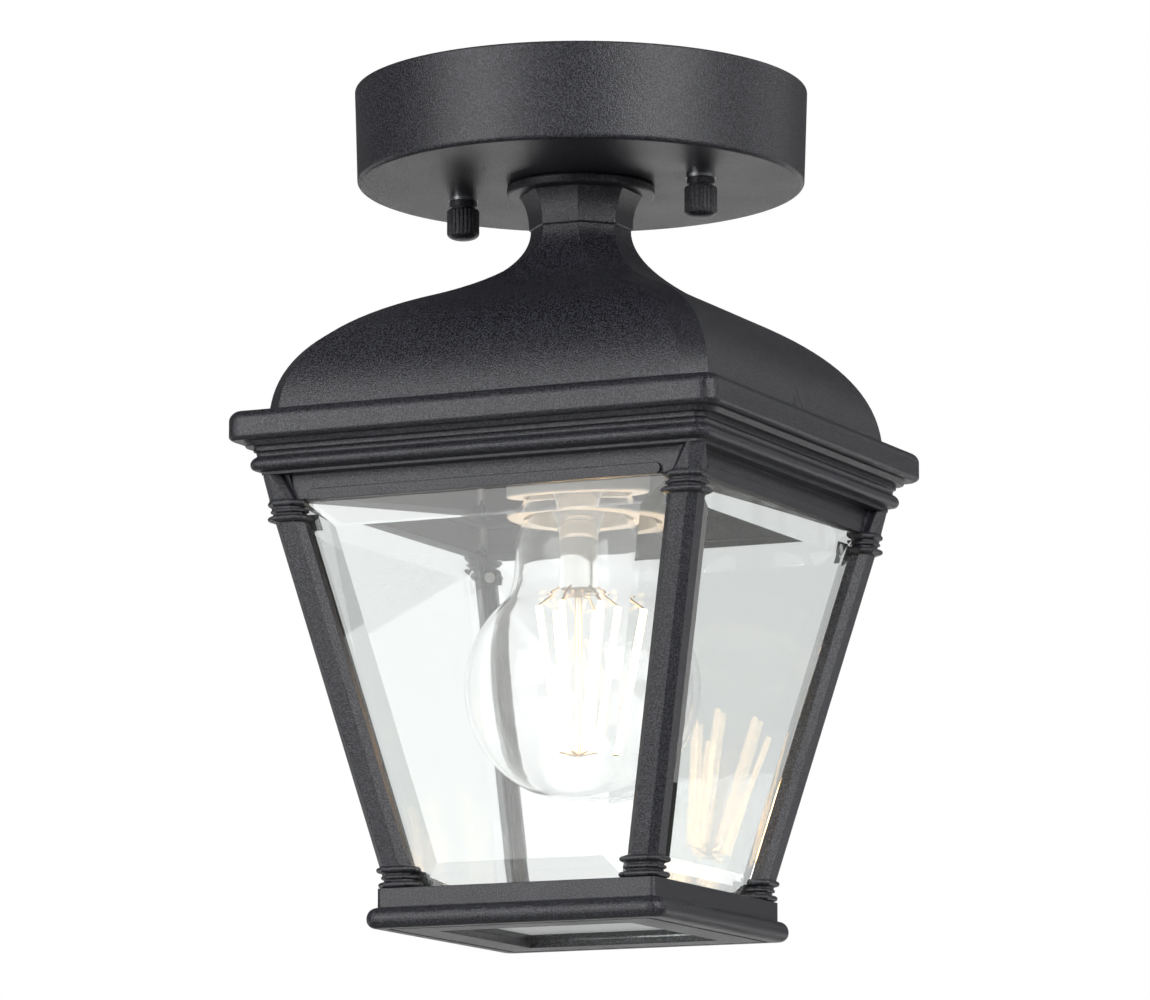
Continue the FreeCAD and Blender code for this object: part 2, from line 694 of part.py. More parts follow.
# ---- top frame: cornice, bed moulding, frieze, pilasters ----
def slab():
    """Top slab of the cornice, falling a little from the roof to its rounded upper edge."""
    h, t, f = slab_half, SLAB_TOP_ROUND, SLAB_FOOT_ROUND
    low = z_slab
    top = z_eaves - SLAB_FALL
    outline = [[(h - t, top), (h - 0.5 * t, top), (h, top - 0.55 * t), (h, top - t)],
               [(h, top - t), (h, low + f)],
               [(h, low + f), (h, low + 0.4 * f), (h - f, low)]]
    fall = frustum(roof_half, z_eaves, h - SLAB_CORNER, top - EPS)
    return rounded(outline, h - SLAB_CORNER).fuse(fall)


def bed_moulding():
    """Lip, hollow and bead between the slab and the frieze."""
    f = bed_half
    bead = f + BEAD_PROUD
    fillet, hollow, foot = f + BED_FILLET_PROUD, f + BED_HOLLOW_PROUD, f - BED_FOOT_SETBACK
    z1 = z_slab - BED_LIP_HEIGHT
    z2 = z1 - BED_FILLET_HEIGHT
    z3 = z2 - BED_HOLLOW_HEIGHT
    z4, z5 = z_slab - BEAD_MIDDLE_DROP, z_slab - BEAD_FOOT_DROP
    outline = [[(f + BED_LIP_PROUD, z_slab), (f + BED_LIP_FOOT_PROUD, z1)],
               [(f + BED_LIP_FOOT_PROUD, z1), (fillet, z1)],
               [(fillet, z1), (fillet, z2)],
               [(fillet, z2), (hollow, z2 - 0.1), (hollow, z3)],
               [(hollow, z3), (bead - 0.2, z3 - 0.7), (bead, z4)],
               [(bead, z4), (bead, z5), (hollow, z5)],
               [(hollow, z5), (foot, z5 - 0.3)],
               [(foot, z5 - 0.3), (foot, z_bed)]]
    return rounded(outline, f - BED_CORNER)


def frieze():
    """Upright band between the pilasters, set back from the faces of the posts."""
    return square(frieze_half, z_head, z_bed + EPS)


def frieze_strip():
    """Raised strip with rounded ends along the foot of the front frieze."""
    r = STRIP_HEIGHT / 2.0
    end = between_collars - FACE_GAP
    strip = box(r - end, end - r, -frieze_half - STRIP_PROUD, -frieze_half + 1.0, z_head,
                z_head + STRIP_HEIGHT)
    for x in (r - end, end - r):
        strip = strip.fuse(Part.makeCylinder(r, STRIP_PROUD + 1.0,
                                             Vector(x, -frieze_half - STRIP_PROUD, z_head + r),
                                             Vector(0, 1, 0)))
    return strip.removeSplitter()


def pilaster():
    """Corner block above the front right post that widens downwards, with bevelled flanks."""
    def outline(z, chamfer, width, flank):
        half = wall_half(z)
        side, deep = width + flank, PILASTER_DEPTH
        points = [(chamfer, 0), (width, 0), (side, flank), (side, deep), (deep, side),
                  (flank, side), (0, width), (0, chamfer)]
        return Part.makePolygon([Vector(half - p, q - half, z) for p, q in points + points[:1]])
    foot = outline(z_post_top, PILASTER_FOOT_CHAMFER, PILASTER_FOOT_WIDTH, PILASTER_FOOT_FLANK)
    top = outline(z_bed + EPS, PILASTER_TOP_CHAMFER, PILASTER_TOP_WIDTH, PILASTER_TOP_FLANK)
    return Part.makeLoft([foot, top], True, True)


def top_frame():
    body = fuse_all([slab(), bed_moulding(), frieze()])
    inner = bed_half - FRAME_WALL
    z_hollow = z_eaves - SLAB_PLATE
    plate_hole = roof_half - ROOF_WALL - SLAB_PLATE_LAP
    body = body.cut(square(plate_hole, z_hollow - 1, z_eaves + 1))
    body = body.cut(square(slab_half - SLAB_RIM, z_slab + SLAB_FLOOR, z_hollow))
    body = body.cut(square(inner, z_shelf, z_hollow))
    body = body.cut(square(SHELF_OPENING_HALF, z_shelf - SHELF_THICKNESS - 1, z_shelf + 1))
    z_chamber = z_shelf - SHELF_THICKNESS
    body = body.cut(square(wall_half(z_lap) - groove_front, z_lap - EPS, z_chamber))
    body = body.cut(frustum(wall_half(z_lap) - groove_front, z_lap,
                            wall_half(z_head - 1) - groove_front, z_head - 1))
    ear_half = EAR_WIDTH / 2.0
    ear_x = roof_half - ROOF_BOSS_INSET
    ear = box(ear_x - EAR_LENGTH, plate_hole + 1, -ear_half, ear_half, z_hollow, z_eaves)
    ears = [ear, turn_quarter(ear, 2)]
    corner = corner_prism([(groove_front - 1, groove_front - 1), (groove_side, groove_front - 1),
                           (groove_side, groove_side), (groove_front - 1, groove_side)],
                          z_post_top, z_chamber + EPS)
    corners = [turn_quarter(corner, k) for k in range(4)]
    pilasters = [turn_quarter(pilaster(), k) for k in range(4)]
    strips = [turn_quarter(frieze_strip(), k) for k in range(4)]
    body = body.multiFuse(ears + corners + pilasters + strips)
    far = slab_half
    notch = box(between_collars, far, -far, -between_collars, z_head - 1, z_post_top)
    for k in range(4):
        for tool in (notch, glazing_grooves(z_head - 1, z_lap)):
            body = body.cut(turn_quarter(tool, k))
    post_hole = cylinder(SCREW_RADIUS + SCREW_CLEARANCE, z_post_top - 1, z_shelf + 1,
                         post_screw_top, -post_screw_top)
    plate_hole_cut = cylinder(SCREW_RADIUS, z_chamber - 1, z_shelf + 1, PLATE_SCREW_OFFSET, 0)
    for k in range(4):
        body = body.cut(turn_quarter(post_hole, k)).cut(turn_quarter(plate_hole_cut, k))
    for s in (-1, 1):
        body = body.cut(cylinder(SCREW_RADIUS + SCREW_CLEARANCE, z_hollow - 1, z_eaves + 1, s * ear_x))
    return body.removeSplitter()


# ---- posts ----
def bead(z0, z1, proud, centre):
    """One rounded ring round the front right post, square to the lantern's axis."""
    middle = (z0 + z1) / 2.0
    core = POST_WIDTH / 2.0 - 0.2
    half = POST_WIDTH / 2.0 + proud
    outline = [[(core, z1), (half, z1), (half, middle)], [(half, middle), (half, z0), (core, z0)]]
    ring = eight_sided(outline, lambda a, z: POST_CHAMFER * 1.25, 2 * POST_WIDTH)
    ring.translate(Vector(centre, -centre, 0))
    return ring


def collar(z0, beads):
    """A stack of beads upwards from a level, nearly plumb; each is (height, proud)."""
    rings = []
    z = z0
    for height, proud in beads:
        centre = collar_centre(z0) + COLLAR_LEAN * slope * (z - z0)
        rings.append(bead(z, z + height, proud, centre))
        z += height + BEAD_GAP
    return rings


def post():
    stem = corner_prism(post_section(), z_sill, z_post_top)
    large, small = (LARGE_BEAD, LARGE_BEAD_PROUD), (SMALL_BEAD, SMALL_BEAD_PROUD)
    top = (LARGE_BEAD, TOP_BEAD_PROUD)
    rings = collar(z_sill, [large, small, large]) + collar(z_upper_collar, [large, small, top])
    body = stem.multiFuse(rings).removeSplitter()
    body = body.cut(glazing_grooves(z_sill - 1, z_post_top + 1))
    body = body.cut(cylinder(SCREW_RADIUS, z_post_top - POST_SCREW_GRIP, z_post_top + 1,
                             post_screw_top, -post_screw_top))
    body = body.cut(cylinder(SCREW_RADIUS, z_sill - 1, z_sill + POST_SCREW_GRIP,
                             post_screw_bottom, -post_screw_bottom))
    for z_clip in (z_clip_top, z_clip_bottom):
        body = body.cut(clip_screw_shank(z_clip))
    return body


def post_top_screws():
    length = z_shelf - z_post_top + POST_SCREW_GRIP
    return four(screw(post_screw_top, -post_screw_top, z_shelf, length, False))


z_counterbore = z_recess + SCREW_HEAD_HEIGHT + LOOSE_GAP


def post_bottom_screws():
    length = z_sill - z_counterbore + POST_SCREW_GRIP
    return four(screw(post_screw_bottom, -post_screw_bottom, z_counterbore, length, True))


# ---- base frame ----
def base_frame():
    b, t = block_half, torus_half
    u, foot = TORUS_TOP_ROUND, TORUS_FOOT_INSET
    z_mid = z_bottom + TORUS_MIDDLE_RISE
    outline = [[(b, z_sill), (b, z_torus)],
               [(b, z_torus), (t - u, z_torus), (t, z_torus - u), (t, z_mid)],
               [(t, z_mid), (t, z_bottom + 0.36 * TORUS_MIDDLE_RISE), (t - 0.4 * foot, z_bottom),
                (t - foot, z_bottom)]]
    body = rounded(outline, b - BASE_CORNER)
    side = wall_half(z_sill) - groove_side - FACE_GAP
    front = wall_half(z_sill) - groove_front
    body = body.cut(box(-side, side, -front, front, z_ledge, z_sill + 1))
    body = body.cut(box(-front, front, -side, side, z_ledge, z_sill + 1))
    body = body.cut(square(BASE_OPENING_HALF, z_recess - 1, z_ledge + 1))
    body = body.cut(square(recess_half, z_bottom - 1, z_recess))
    x = post_screw_bottom
    hole = cylinder(SCREW_RADIUS + SCREW_CLEARANCE, z_recess - 1, z_sill + 1, x, -x)
    sink = cylinder(SCREW_HEAD_RADIUS + SCREW_CLEARANCE, z_recess - 1, z_counterbore, x, -x)
    for k in range(4):
        body = body.cut(turn_quarter(hole, k)).cut(turn_quarter(sink, k))
    for s in (-1, 1):
        pin = Part.makeCylinder(DOOR_PIN_RADIUS + DOOR_PIN_RUNNING_FIT, torus_half,
                                Vector(0, door_axis_y, z_door_axis), Vector(s, 0, 0))
        body = body.cut(pin.common(box(-pin_end - 0.3, pin_end + 0.3, 0, block_half,
                                       z_bottom, z_recess)))
    return body


# ---- glass ----
def pane_point(u, v, n):
    """A point on the front pane: u across, v up the slope from the sill, n in from its face."""
    c, s = math.cos(math.radians(tilt)), math.sin(math.radians(tilt))
    face = wall_half(z_sill) - GLASS_RECESS
    return Vector(u, -face - v * s + n * c, z_sill + v * c + n * s)


def pane():
    c = math.cos(math.radians(tilt))
    v0, v1 = -GLASS_SILL_DROP / c, (z_head + GLASS_HEAD_LAP - z_sill) / c

    def trapezoid(inset, n):
        low, high = v0 + inset, v1 - inset
        side = inset / math.cos(math.atan(slope * c))
        half_low = wall_half(z_sill + low * c) - pane_side - side
        half_high = wall_half(z_sill + high * c) - pane_side - side
        corners = [(-half_low, low), (half_low, low), (half_high, high), (-half_high, high)]
        return Part.makePolygon([pane_point(u, v, n) for u, v in corners + corners[:1]])
    slab_part = Part.makeLoft([trapezoid(0, BEVEL_DEPTH), trapezoid(0, GLASS_THICKNESS)], True, True)
    face_part = Part.makeLoft([trapezoid(BEVEL_WIDTH, 0), trapezoid(0, BEVEL_DEPTH)], True, True)
    return slab_part.fuse(face_part).removeSplitter()


def bottom_glass():
    h = bottom_glass_half
    low = z_door_top + FACE_GAP / 2.0
    return square(h, low, low + GLASS_THICKNESS)


# ---- corner clips ----
z_clip_top = z_head - TOP_CLIP_DROP
z_clip_bottom = z_sill + BOTTOM_CLIP_RISE


def clip():
    """L-shaped clip with a thick corner, behind the edges of two panes; (low level, solid)."""
    a = glass_back + EPS
    b = a + CLIP_THICKNESS
    end = a + CLIP_LEG
    gusset = a + CLIP_GUSSET
    section = [(a, a), (end, a), (end, b), (gusset, b), (b, gusset), (b, end), (a, end)]
    return section


def clip_seat():
    """Depth along each face of the flat in the clip's corner, at its middle."""
    return (2 * (glass_back + EPS) + CLIP_THICKNESS + CLIP_GUSSET) / 2.0


def clip_axis(z_clip):
    """Where the clip's screw starts, at the middle of the clip's height."""
    z = z_clip + CLIP_HEIGHT / 2.0
    half = wall_half(z) - clip_seat()
    return Vector(half, -half, z)


OUTWARD = Vector(1 / ROOT2, -1 / ROOT2, 0)


def clip_screw_shank(z_clip):
    return Part.makeCylinder(CLIP_SCREW_RADIUS, CLIP_SCREW_LENGTH, clip_axis(z_clip), OUTWARD)


def glass_clips(z_clip):
    body = corner_prism(clip(), z_clip, z_clip + CLIP_HEIGHT)
    start = clip_axis(z_clip) - OUTWARD * 3.0
    hole = Part.makeCylinder(CLIP_SCREW_RADIUS, CLIP_SCREW_LENGTH + 3.0, start, OUTWARD)
    seat = Part.makeCylinder(CLIP_SCREW_HEAD_RADIUS, 3.0, start, OUTWARD)
    return four(body.cut(hole).cut(seat))


def clip_screws():
    solids = []
    for z_clip in (z_clip_top, z_clip_bottom):
        start = clip_axis(z_clip) - OUTWARD * CLIP_SCREW_HEAD_HEIGHT
        head = Part.makeCylinder(CLIP_SCREW_HEAD_RADIUS, CLIP_SCREW_HEAD_HEIGHT, start, OUTWARD)
        one = head.fuse(clip_screw_shank(z_clip)).removeSplitter()
        solids.extend(turn_quarter(one, k) for k in range(4))
    return Part.makeCompound(solids)


# ---- bottom door ----
pin_end = recess_half + 1.9
pin_start = pin_end - DOOR_PIN_LENGTH
catch_y = door_half - CATCH_INSET


def bottom_frame():
    """Flat ring with two lugs at the back for the hinge pins."""
    ring = square(door_half, z_bottom, z_door_top)
    ring = ring.cut(square(door_hole_half, z_bottom - 1, z_door_top + 1))
    low, high = z_door_top - EPS, z_door_top + DOOR_LUG_HEIGHT
    front = door_half - DOOR_LUG_DEPTH
    right = box(door_half - DOOR_LUG_LENGTH, door_half, front, door_half, low, high)
    left = box(-door_half, DOOR_LUG_LENGTH - door_half, front, door_half, low, high)
    ring = ring.multiFuse([right, left]).removeSplitter()
    for s in (-1, 1):
        start = Vector(s * pin_start, door_axis_y, z_door_axis)
        ring = ring.cut(Part.makeCylinder(DOOR_PIN_RADIUS, door_half, start, Vector(s, 0, 0)))
    return ring


def door_pins():
    return Part.makeCompound([Part.makeCylinder(DOOR_PIN_RADIUS, DOOR_PIN_LENGTH,
                                                Vector(s * pin_start, door_axis_y, z_door_axis),
                                                Vector(s, 0, 0)) for s in (-1, 1)])


def catch_magnet():
    half = CATCH_LENGTH / 2.0
    return box(-half, half, -catch_y - CATCH_WIDTH / 2, -catch_y + CATCH_WIDTH / 2,
               z_door_top + LOOSE_GAP, z_recess)


def bottom_glass_clips():
    """Bent tabs on the ring that reach over the edge of the bottom pane."""
    t = DOOR_CLIP_THICKNESS
    low = z_door_top
    high = z_door_top + FACE_GAP / 2.0 + GLASS_THICKNESS + FACE_GAP / 2.0
    riser = bottom_glass_half + FACE_GAP * 2.0
    w = DOOR_CLIP_WIDTH / 2.0
    tab = fuse_all([box(riser, riser + DOOR_CLIP_FOOT, -w, w, low, low + t),
                    box(riser, riser + t, -w, w, low, high + t),
                    box(riser - DOOR_CLIP_GRIP, riser + t, -w, w, high, high + t)])
    solids = []
    for y in (-DOOR_CLIP_SPACING / 2.0, DOOR_CLIP_SPACING / 2.0):
        one = tab.copy()
        one.translate(Vector(0, y, 0))
        solids.append(one)
        solids.append(turn_quarter(one, 2))
    return Part.makeCompound(solids)


# ---- lampholder ----
def socket_plate():
    h, c = PLATE_HALF, PLATE_CORNER_CUT
    corners = [(h, h - c), (h - c, h), (c - h, h), (-h, h - c), (-h, c - h), (c - h, -h), (h - c, -h),
               (h, c - h), (h, h - c)]
    plate = Part.Face(Part.makePolygon([Vector(x, y, z_shelf) for x, y in corners]))
    plate = plate.extrude(Vector(0, 0, PLATE_THICKNESS))
    plate = plate.cut(cylinder(HOLDER_RADIUS + HOLE_CLEARANCE, z_shelf - 1, z_plate + 1))
    hole = cylinder(SCREW_RADIUS + SCREW_CLEARANCE, z_shelf - 1, z_plate + 1, PLATE_SCREW_OFFSET)
    for k in range(4):
        plate = plate.cut(turn_quarter(hole, k))
    for s in (-1, 1):
        plate = plate.cut(cylinder(SCREW_RADIUS, z_shelf - 1, z_plate + 1, 0, s * HOLDER_SCREW_OFFSET))
    return plate


def socket_plate_screws():
    return four(screw(PLATE_SCREW_OFFSET, 0, z_plate, PLATE_THICKNESS + SHELF_THICKNESS, False))


z_cavity = z_holder_top - HOLDER_ROOF


def lampholder():
    """Moulded body with a flange on the plate and a skirt below it."""
    f0, f1 = z_plate, z_plate + HOLDER_FLANGE_THICKNESS
    round_top = HOLDER_TOP_ROUND
    z_step = z_holder_rim + SHELL_INSET
    mouth, round_rim = SHELL_RADIUS + HOLDER_MOUTH_GAP, HOLDER_RIM_ROUND
    profile = [[(mouth, z_holder_rim), (HOLDER_RADIUS - round_rim, z_holder_rim)],
               [(HOLDER_RADIUS - round_rim, z_holder_rim), (HOLDER_RADIUS, z_holder_rim),
                (HOLDER_RADIUS, z_holder_rim + round_rim)]]
    profile += lines([(HOLDER_RADIUS, z_holder_rim + round_rim), (HOLDER_RADIUS, f0),
                      (HOLDER_FLANGE_RADIUS, f0), (HOLDER_FLANGE_RADIUS, f1),
                      (HOLDER_TOP_RADIUS, f1), (HOLDER_TOP_RADIUS, z_holder_top - round_top)])
    profile.append([(HOLDER_TOP_RADIUS, z_holder_top - round_top), (HOLDER_TOP_RADIUS, z_holder_top),
                    (HOLDER_TOP_RADIUS - round_top, z_holder_top)])
    profile += lines([(HOLDER_TOP_RADIUS - round_top, z_holder_top), (0, z_holder_top),
                      (0, z_cavity), (SHELL_RADIUS, z_cavity), (SHELL_RADIUS, z_step),
                      (mouth, z_step), (mouth, z_holder_rim)])
    body = turned(profile)
    for s in (-1, 1):
        body = body.cut(cylinder(SCREW_RADIUS + SCREW_CLEARANCE, f0 - 1, f1 + 1, 0,
                                 s * HOLDER_SCREW_OFFSET))
    return body


def lampholder_screws():
    seat = z_plate + HOLDER_FLANGE_THICKNESS
    return Part.makeCompound([screw(0, s * HOLDER_SCREW_OFFSET, seat,
                                    HOLDER_FLANGE_THICKNESS + PLATE_THICKNESS, False)
                              for s in (-1, 1)])


def lampholder_shell():
    """Screw shell, plain inside so that the lamp can turn in it."""
    r, t = SHELL_RADIUS, SHELL_WALL
    low = z_holder_rim + SHELL_INSET
    return turned(lines([(r - t, low), (r, low), (r, z_cavity), (r - SHELL_LIP, z_cavity),
                         (r - SHELL_LIP, z_cavity - t), (r - t, z_cavity - t), (r - t, low)]))


def lampholder_tongue():
    """Sprung strip that presses on the lamp's centre contact."""
    half, t = TONGUE_WIDTH / 2.0, TONGUE_THICKNESS
    tip = z_contact + LOOSE_GAP
    reach = SHELL_RADIUS - SHELL_LIP - 1.0
    points = [(-reach, z_cavity), (-reach, z_cavity - t), (-reach + 3, z_cavity - t), (-1.5, tip),
              (2.5, tip), (2.5, tip + t), (-1.3, tip + t), (-reach + 3.2, z_cavity)]
    corners = [Vector(x, -half, z) for x, z in points + points[:1]]
    return Part.Face(Part.makePolygon(corners)).extrude(Vector(0, 2 * half, 0))


def terminal_screws():
    top = z_holder_top + TERMINAL_HEIGHT
    return Part.makeCompound([cylinder(TERMINAL_RADIUS, z_holder_top, top, s * TERMINAL_OFFSET)
                              for s in (-1, 1)])


# ---- lamp ----
z_cap_shoulder = z_contact - CONTACT_HEIGHT - INSULATOR_HEIGHT
z_cap_rim = z_cap_shoulder - CAP_LENGTH


def lamp_outline(wall):
    """Side of the glass from its throat in the cap to its lowest point."""
    r = LAMP_RADIUS - wall
    join = math.radians(48.0)
    x, z = r * math.cos(join), z_lamp_centre + r * math.sin(join)
    dx, dz = math.sin(join), math.cos(join)
    throat = LAMP_THROAT_RADIUS - wall
    z_throat = z_cap_rim + 4.0
    neck = LAMP_NECK_RADIUS - wall
    z_neck = (z_cap_rim + z) / 2.0 + 2.0
    return [[(throat, z_throat), (throat, z_cap_rim)],
            [(throat, z_cap_rim), (throat, z_cap_rim - 4), (neck, z_neck + 5), (neck, z_neck)],
            [(neck, z_neck), (neck, z_neck - 5), (x - 5 * dx, z + 5 * dz), (x, z)],
            arc_poles(r, join, 0.0), arc_poles(r, 0.0, -math.pi / 4),
            arc_poles(r, -math.pi / 4, -math.pi / 2)]


def arc_poles(r, start, end):
    """Cubic poles of an arc about the centre of the lamp's round part."""
    h = 4.0 / 3.0 * math.tan((end - start) / 4.0) * r
    c0, s0, c1, s1 = math.cos(start), math.sin(start), math.cos(end), math.sin(end)
    zc = z_lamp_centre
    last = 0.0 if abs(c1) < 1e-9 else r * c1
    return [(r * c0, zc + r * s0), (r * c0 - h * s0, zc + r * s0 + h * c0),
            (last + h * s1, zc + r * s1 - h * c1), (last, zc + r * s1)]


def bulb_glass():
    outer, inner = lamp_outline(0.0), lamp_outline(LAMP_WALL)
    back = [list(reversed(poles)) for poles in reversed(inner)]
    bottom = [[outer[-1][-1], inner[-1][-1]]]
    return turned(outer + bottom + back)


def bulb_cap():
    """Pressed screw cap with rounded, evenly spaced threads."""
    r, core, p = CAP_THREAD_RADIUS, CAP_CORE_RADIUS, CAP_THREAD_PITCH
    top, low = z_cap_shoulder, z_cap_rim
    profile = [[(core - CAP_WALL, low), (core, low)]]
    z = low + 3.0
    profile.append([(core, low), (core, z)])
    while z + p < top - 2.0:
        profile.append([(core, z), (r + 0.35, z + p / 2), (core, z + p)])
        z += p
    profile.append([(core, z), (core, top - 2.0)])
    profile.append([(core, top - 2.0), (CONTACT_RADIUS + 2.0, top)])
    inner = CONTACT_RADIUS + 2.0 - CAP_WALL
    profile += lines([(CONTACT_RADIUS + 2.0, top), (inner, top), (inner, top - CAP_WALL),
                      (core - CAP_WALL, top - 2.0 - CAP_WALL), (core - CAP_WALL, low)])
    return turned(profile)


def bulb_insulator():
    top = z_contact - CONTACT_HEIGHT
    wide = CONTACT_RADIUS + 2.0
    return turned(lines([(0, z_cap_shoulder - 1.5), (wide - CAP_WALL - 0.5, z_cap_shoulder - 1.5),
                         (wide - CAP_WALL, z_cap_shoulder), (wide, z_cap_shoulder),
                         (CONTACT_RADIUS, top), (0, top), (0, z_cap_shoulder - 1.5)]))


def bulb_contact():
    low = z_contact - CONTACT_HEIGHT
    r = CONTACT_RADIUS - 0.4
    return turned([[(0, low), (r, low)], [(r, low), (r * 0.9, z_contact), (r * 0.5, z_contact)],
                   [(r * 0.5, z_contact), (0, z_contact)], [(0, z_contact), (0, low)]])


z_flare = z_cap_rim + 1.0
z_stem_tip = z_flare - STEM_LENGTH


def bulb_stem():
    """Glass stem that flares out to the throat."""
    flare = LAMP_THROAT_RADIUS - LAMP_WALL - FACE_GAP
    return turned([[(0, z_flare), (flare, z_flare)], [(flare, z_flare), (flare, z_flare - 1.0)],
                   [(flare, z_flare - 1.0), (STEM_RADIUS, z_flare - 4), (STEM_RADIUS, z_flare - 14)],
                   [(STEM_RADIUS, z_flare - 14), (STEM_RADIUS, z_stem_tip + 2.0)],
                   [(STEM_RADIUS, z_stem_tip + 2.0), (STEM_RADIUS * 0.8, z_stem_tip), (0, z_stem_tip)],
                   [(0, z_stem_tip), (0, z_flare)]])


z_filament_top = z_stem_tip - 2.0
z_filament_bottom = z_filament_top - math.sqrt(FILAMENT_LENGTH ** 2
                                               - (FILAMENT_BOTTOM_RING - FILAMENT_TOP_RING) ** 2)


def rod(a, b, radius):
    return Part.makeCylinder(radius, (b - a).Length, a, b - a)


def ring_point(radius, k, z):
    angle = math.radians(30.0) + 2 * math.pi * k / FILAMENT_COUNT
    return Vector(radius * math.cos(angle), radius * math.sin(angle), z)


def bulb_filaments():
    return Part.makeCompound([rod(ring_point(FILAMENT_TOP_RING, k, z_filament_top),
                                  ring_point(FILAMENT_BOTTOM_RING, k, z_filament_bottom),
                                  FILAMENT_RADIUS) for k in range(FILAMENT_COUNT)])


def bulb_support_wires():
    """A wire from the stem to the top of each filament, and a hub below that gathers their ends."""
    filaments, stem = bulb_filaments(), bulb_stem()
    upper, lower = [], []
    z_hub = z_filament_bottom - 1.0
    for k in range(FILAMENT_COUNT):
        top = ring_point(FILAMENT_TOP_RING, k, z_filament_top)
        start = ring_point(STEM_RADIUS - 1.0, k, z_stem_tip + 3.0)
        upper.append(rod(start, top, SUPPORT_WIRE_RADIUS).cut(filaments).cut(stem))
        low = ring_point(FILAMENT_BOTTOM_RING, k, z_filament_bottom)
        lower.append(rod(Vector(0, 0, z_hub), low, SUPPORT_WIRE_RADIUS))
    hub = cylinder(HUB_RADIUS, z_hub - 0.6, z_stem_tip)
    cage = hub.multiFuse(lower).removeSplitter().cut(filaments)
    return Part.makeCompound(cage.Solids + [one for part in upper for one in part.Solids])


# ---- leads ----
def bent_tube(points, radius):
    """Straight runs joined by arcs that are as large as the runs allow."""
    points = [Vector(*p) for p in points]
    edges = []
    start = points[0]
    for before, corner, after in zip(points, points[1:], points[2:]):
        back, ahead = (before - corner), (after - corner)
        run = min(back.Length, ahead.Length)
        back.normalize()
        ahead.normalize()
        turn = math.pi - back.getAngle(ahead)
        reach = 0.45 * run
        bend = reach / math.tan(turn / 2.0)
        print("bend radius %.1f" % bend)
        a, b = corner + back * reach, corner + ahead * reach
        middle = (back + ahead).normalize()
        centre = corner + middle * (bend / math.cos(turn / 2.0))
        mid = centre - middle * bend
        edges.append(Part.makeLine(start, a))
        edges.append(Part.Arc(a, mid, b).toShape())
        start = b
    edges.append(Part.makeLine(start, points[-1]))
    path = Part.Wire(edges)
    direction = points[1] - points[0]
    ring = Part.Wire(Part.makeCircle(radius, points[0], direction))
    sweep = path.makePipeShell([ring], True, False)
    print("lead volume over section x length: %.4f"
          % (sweep.Volume / (math.pi * radius ** 2 * path.Length)))
    return sweep


z_terminal = z_holder_top + TERMINAL_HEIGHT
lead_x = LEAD_RADIUS + 0.35
LIVE_ROUTE = [(-TERMINAL_OFFSET, 0, z_terminal), (-TERMINAL_OFFSET, 0, z_terminal + 12),
              (-lead_x, 0, z_nipple_bottom - 2), (-lead_x, 0, z_nipple_top + 2),
              (-6, -17, z_floor + 17.5), (-14, -30, z_floor + 11.5)]
EARTH_ROUTE = [(EARTH_BARREL_END, 0, z_earth_ring + 0.8), (24.0, 0, z_earth_ring + 2.0),
               (33.0, -7.0, z_earth_ring + 6.0), (31.0, -16.5, z_earth_ring + 9.0)]


def live_lead():
    return bent_tube(LIVE_ROUTE, LEAD_RADIUS)


def earth_lead():
    lead = bent_tube(EARTH_ROUTE, LEAD_RADIUS)
    lead.rotate(Vector(0, 0, 0), Vector(0, 0, 1), earth_angle)
    return lead


def connector(route):
    """Twist-on connector: a tapered cap that carries on from the end of a lead."""
    before, end = Vector(*route[-2]), Vector(*route[-1])
    return Part.makeCone(CONNECTOR_RADIUS, CONNECTOR_TIP_RADIUS, CONNECTOR_LENGTH, end, end - before)


def wire_connectors():
    live = connector(LIVE_ROUTE)
    earth = connector(EARTH_ROUTE)
    earth.rotate(Vector(0, 0, 0), Vector(0, 0, 1), earth_angle)
    return Part.makeCompound([live, turn_quarter(live, 2), earth])


